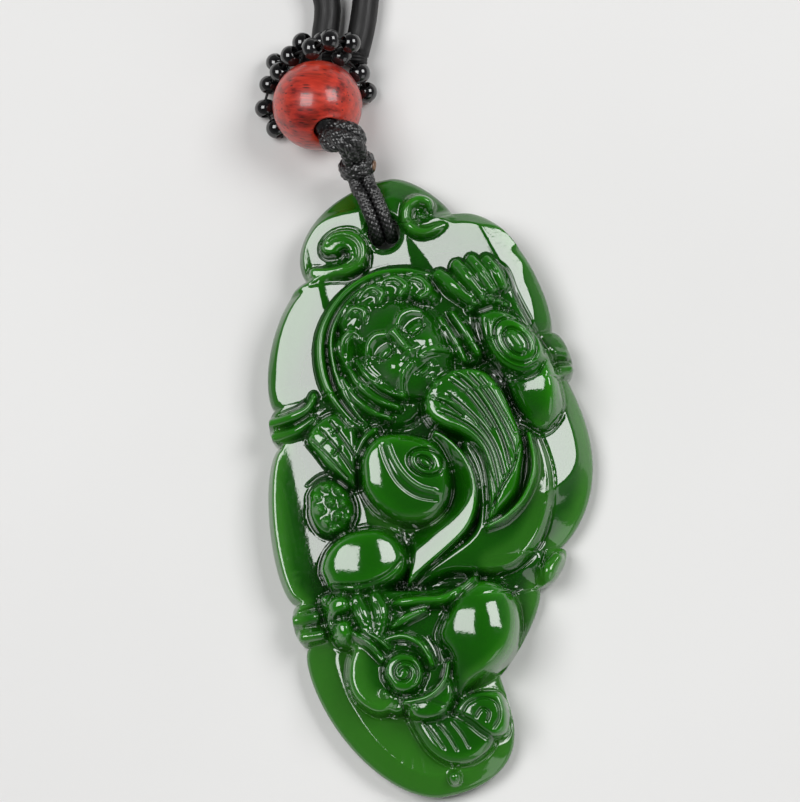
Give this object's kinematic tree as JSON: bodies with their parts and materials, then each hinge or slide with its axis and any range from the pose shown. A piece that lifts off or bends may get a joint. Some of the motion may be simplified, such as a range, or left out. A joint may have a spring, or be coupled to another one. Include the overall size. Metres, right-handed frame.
{
  "type": "carved jade pendant on a necklace cord",
  "caption": "Carved jade pendant drilled at its head, on a knotted black cord with a wooden bead, seed beads and a looped neck cord.",
  "frame": {"origin": "middle of the stone, on the flat back that it rests on", "axes": "+Y from the stone's foot to its drilled head, +Z away from the surface that it lies on, +X to the right seen from the front"},
  "size_m": [0.1384, 0.3328, 0.0096],
  "materials": {
    "jade": "polished",
    "braided_cord": "tight waxed braid",
    "burnt_cord": "melted",
    "satin_cord": "satin",
    "red_wood": "turned and polished",
    "seed_glass": "gloss",
    "bead_thread": "thread"
  },
  "bodies": {
    "root": {"jade_pendant": "jade", "loop_cord_left": "braided_cord", "loop_cord_right": "braided_cord", "lower_knot": "braided_cord", "upper_knot": "braided_cord", "melted_end": "burnt_cord", "bead_cord": "braided_cord", "wood_bead": "red_wood", "seed_beads": "seed_glass", "seed_threads": "bead_thread", "cord_binding": "satin_cord", "neck_cord": "satin_cord"}
  },
  "joints": []
}
